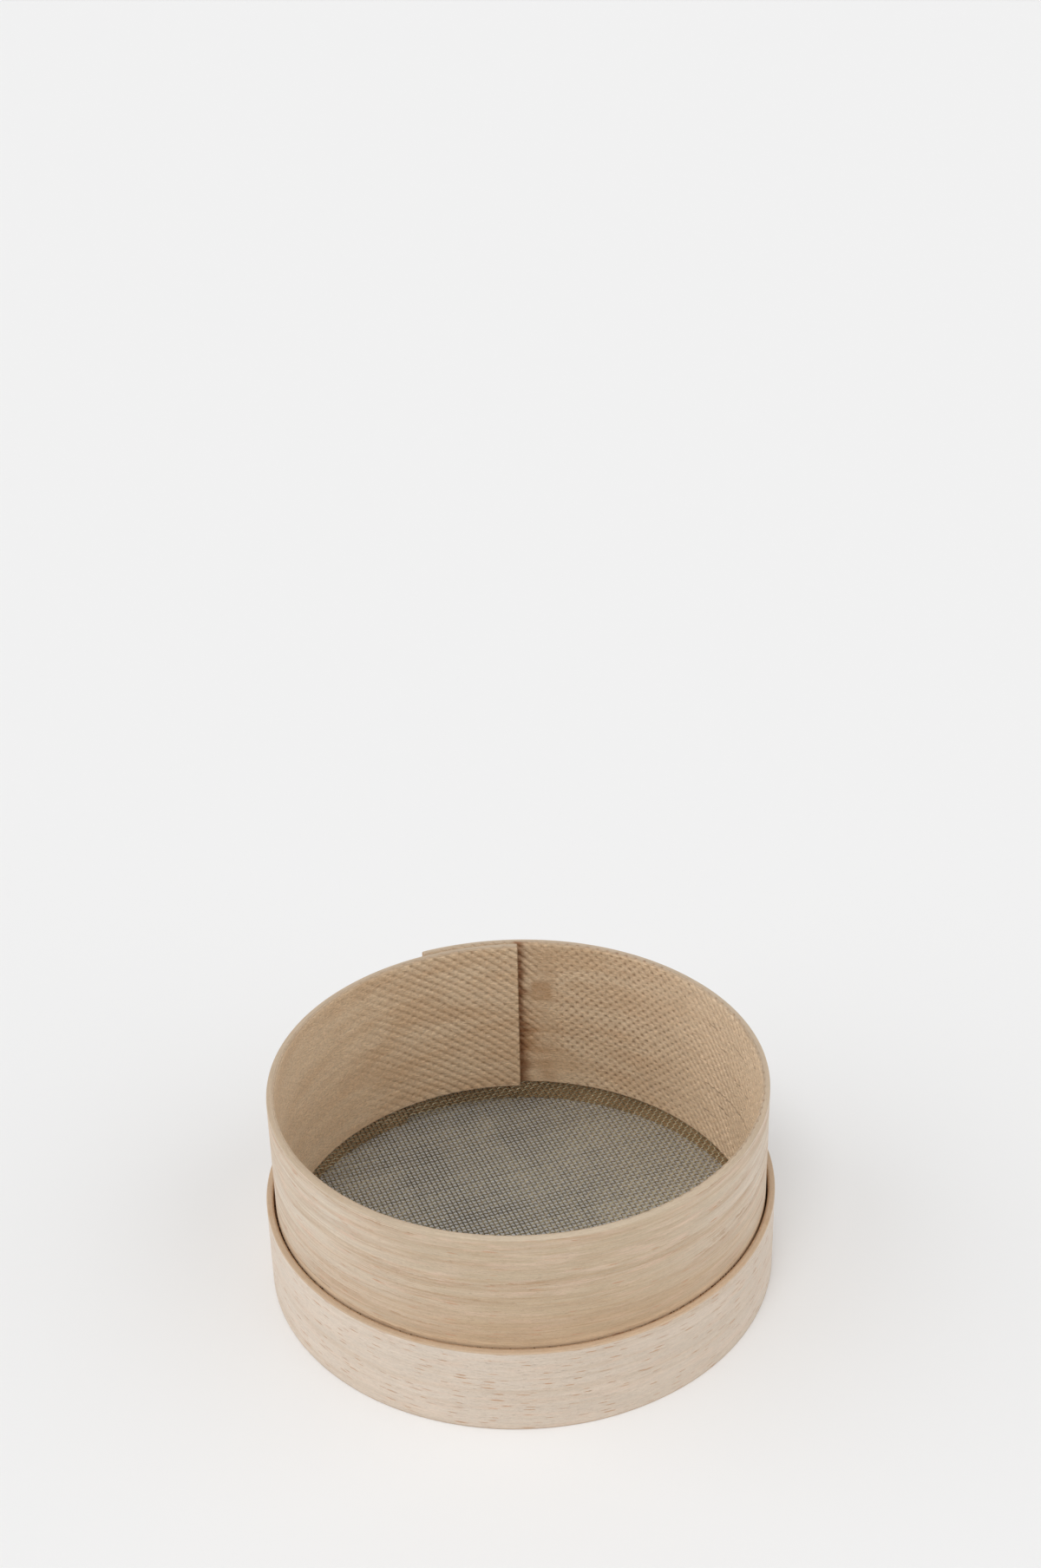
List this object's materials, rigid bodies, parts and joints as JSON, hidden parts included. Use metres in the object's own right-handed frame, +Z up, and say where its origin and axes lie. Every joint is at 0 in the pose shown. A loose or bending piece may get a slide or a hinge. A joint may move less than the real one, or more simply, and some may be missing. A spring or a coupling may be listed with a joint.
{
  "type": "tamis drum sieve",
  "caption": "Round drum sieve: woven wire cloth stretched under a tall bentwood hoop and held by a short outer hoop, for sifting flour or passing purees.",
  "frame": {"origin": "middle of the outer box seen from above, on the surface that the sieve stands on", "axes": "+Z up along the hoops' axis, -Y towards the front, with the hoops' overlaps at the back"},
  "size_m": [0.167, 0.1688, 0.07],
  "materials": {
    "frame_wood": "raw steam-bent beech, sanded, with a knurled inner face",
    "clamp_wood": "raw steam-bent beech with ray flecks, sanded",
    "wire": "plain-woven bright steel wire",
    "glue": "dried wood glue"
  },
  "bodies": {
    "root": {"frame_hoop": "frame_wood", "clamp_hoop": "clamp_wood", "wire_cloth": "wire", "cloth_skirt": "wire", "frame_lap_glue": "glue", "clamp_lap_glue": "glue"}
  },
  "joints": []
}
